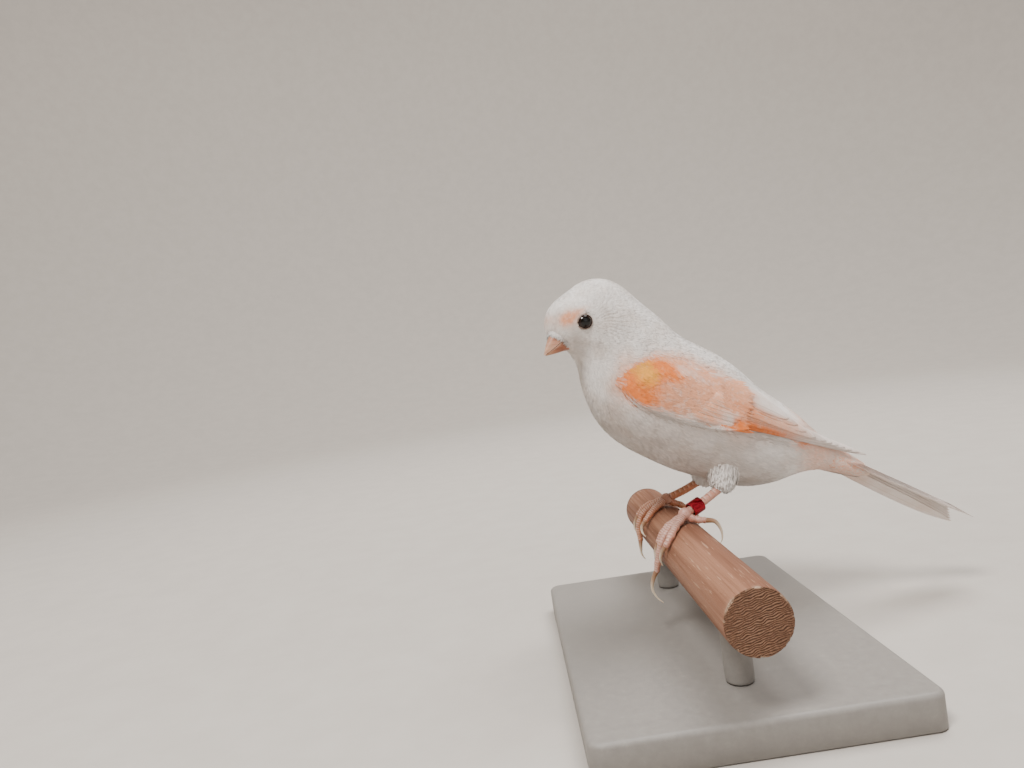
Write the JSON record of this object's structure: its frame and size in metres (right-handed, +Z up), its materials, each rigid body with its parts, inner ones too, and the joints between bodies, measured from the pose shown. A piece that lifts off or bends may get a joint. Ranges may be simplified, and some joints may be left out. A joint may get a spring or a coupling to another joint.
{
  "type": "perched canary model",
  "caption": "Life-size white canary with orange shoulders gripping a short round wooden perch on a plain display stand.",
  "frame": {"origin": "middle of the flat underside of the stand's base", "axes": "+Z up; +Y along the perch, away from the viewer of the picture; the bird faces -X with its left side towards -Y"},
  "size_m": [0.1219, 0.11, 0.1029],
  "materials": {
    "plumage": "soft white feathers",
    "shoulder": "peach and orange feathers, paler at their tips",
    "tail": "long white feathers with a peach tint",
    "horn": "satin pinkish brown horn",
    "claw": "pale translucent horn",
    "skin": "scaly flesh-coloured skin",
    "eye": "wet black",
    "ring": "dark red anodised, glossy",
    "wood": "bare sanded wood with sawn ends",
    "stand": "matt grey paint"
  },
  "bodies": {
    "root": {"head": "plumage", "neck": "plumage", "torso": "plumage", "thigh_left": "plumage", "thigh_right": "plumage", "wing_left": "shoulder", "wing_right": "shoulder", "tail": "tail", "bill_upper": "horn", "bill_lower": "horn", "eye_left": "eye", "eye_right": "eye", "tarsus_left": "skin", "tarsus_right": "skin", "foot_left": "skin", "foot_right": "skin", "claw_left_inner": "claw", "claw_left_middle": "claw", "claw_left_outer": "claw", "claw_left_hind": "claw", "claw_right_inner": "claw", "claw_right_middle": "claw", "claw_right_outer": "claw", "claw_right_hind": "claw", "leg_ring": "ring", "perch": "wood", "stand_base": "stand", "stand_rod_front": "stand", "stand_rod_back": "stand"}
  },
  "joints": []
}
